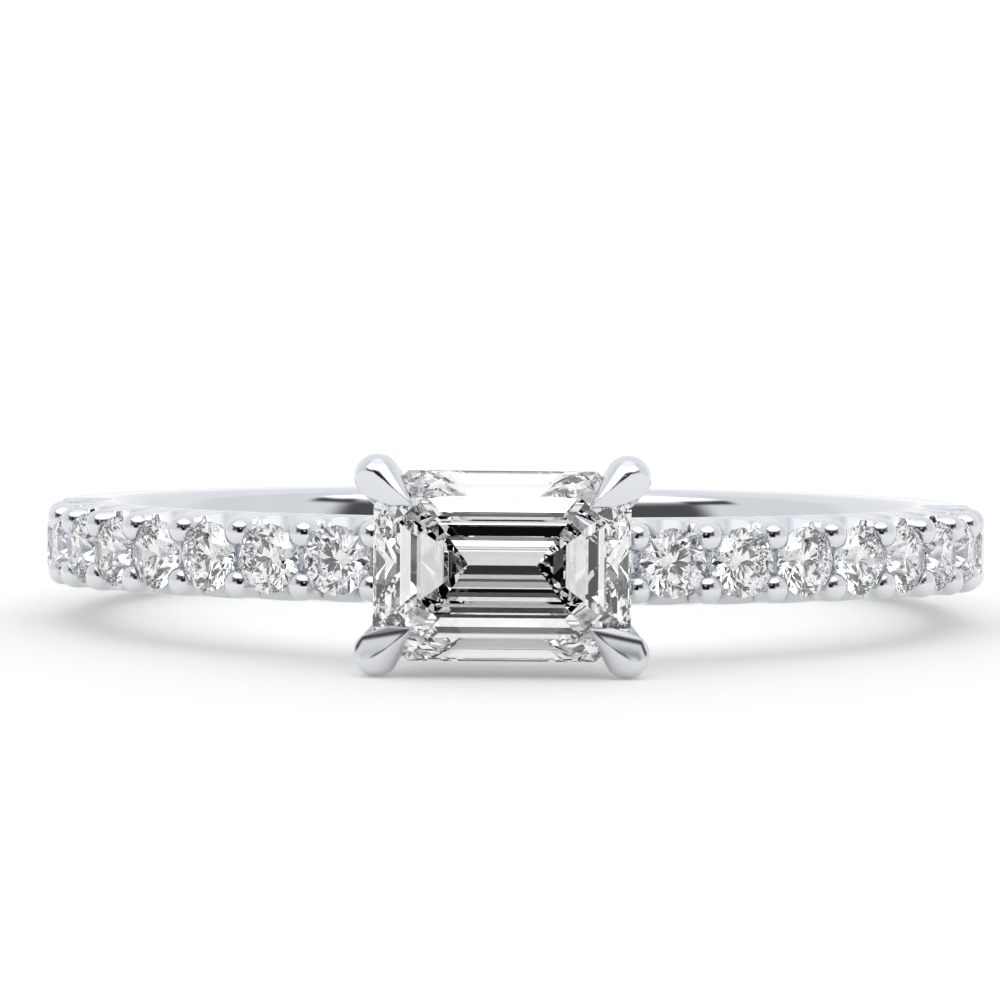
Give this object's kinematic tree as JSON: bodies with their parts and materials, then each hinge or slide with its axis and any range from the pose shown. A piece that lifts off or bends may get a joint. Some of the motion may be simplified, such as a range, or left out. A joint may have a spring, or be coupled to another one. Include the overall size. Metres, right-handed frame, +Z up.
{
  "type": "east west ring",
  "caption": "Ring lying on its side: an emerald-cut stone set sideways in four claws on a narrow band whose arms carry rows of round bead-set stones.",
  "frame": {"origin": "middle of the ring's outline on the surface that it lies on, at that surface's height", "axes": "-Y is the way the centre stone's table faces, +Z is up as the ring lies on its side, +X is along the centre stone"},
  "size_m": [0.02, 0.0218, 0.0046],
  "materials": {
    "white_metal": "polished",
    "centre_diamond": "faceted and polished",
    "side_diamond": "faceted and polished"
  },
  "bodies": {
    "root": {"ring_setting": "white_metal", "centre_stone": "centre_diamond", "side_stone_l1": "side_diamond", "side_stone_l2": "side_diamond", "side_stone_l3": "side_diamond", "side_stone_l4": "side_diamond", "side_stone_l5": "side_diamond", "side_stone_l6": "side_diamond", "side_stone_l7": "side_diamond", "side_stone_l8": "side_diamond", "side_stone_r1": "side_diamond", "side_stone_r2": "side_diamond", "side_stone_r3": "side_diamond", "side_stone_r4": "side_diamond", "side_stone_r5": "side_diamond", "side_stone_r6": "side_diamond", "side_stone_r7": "side_diamond", "side_stone_r8": "side_diamond"}
  },
  "joints": []
}
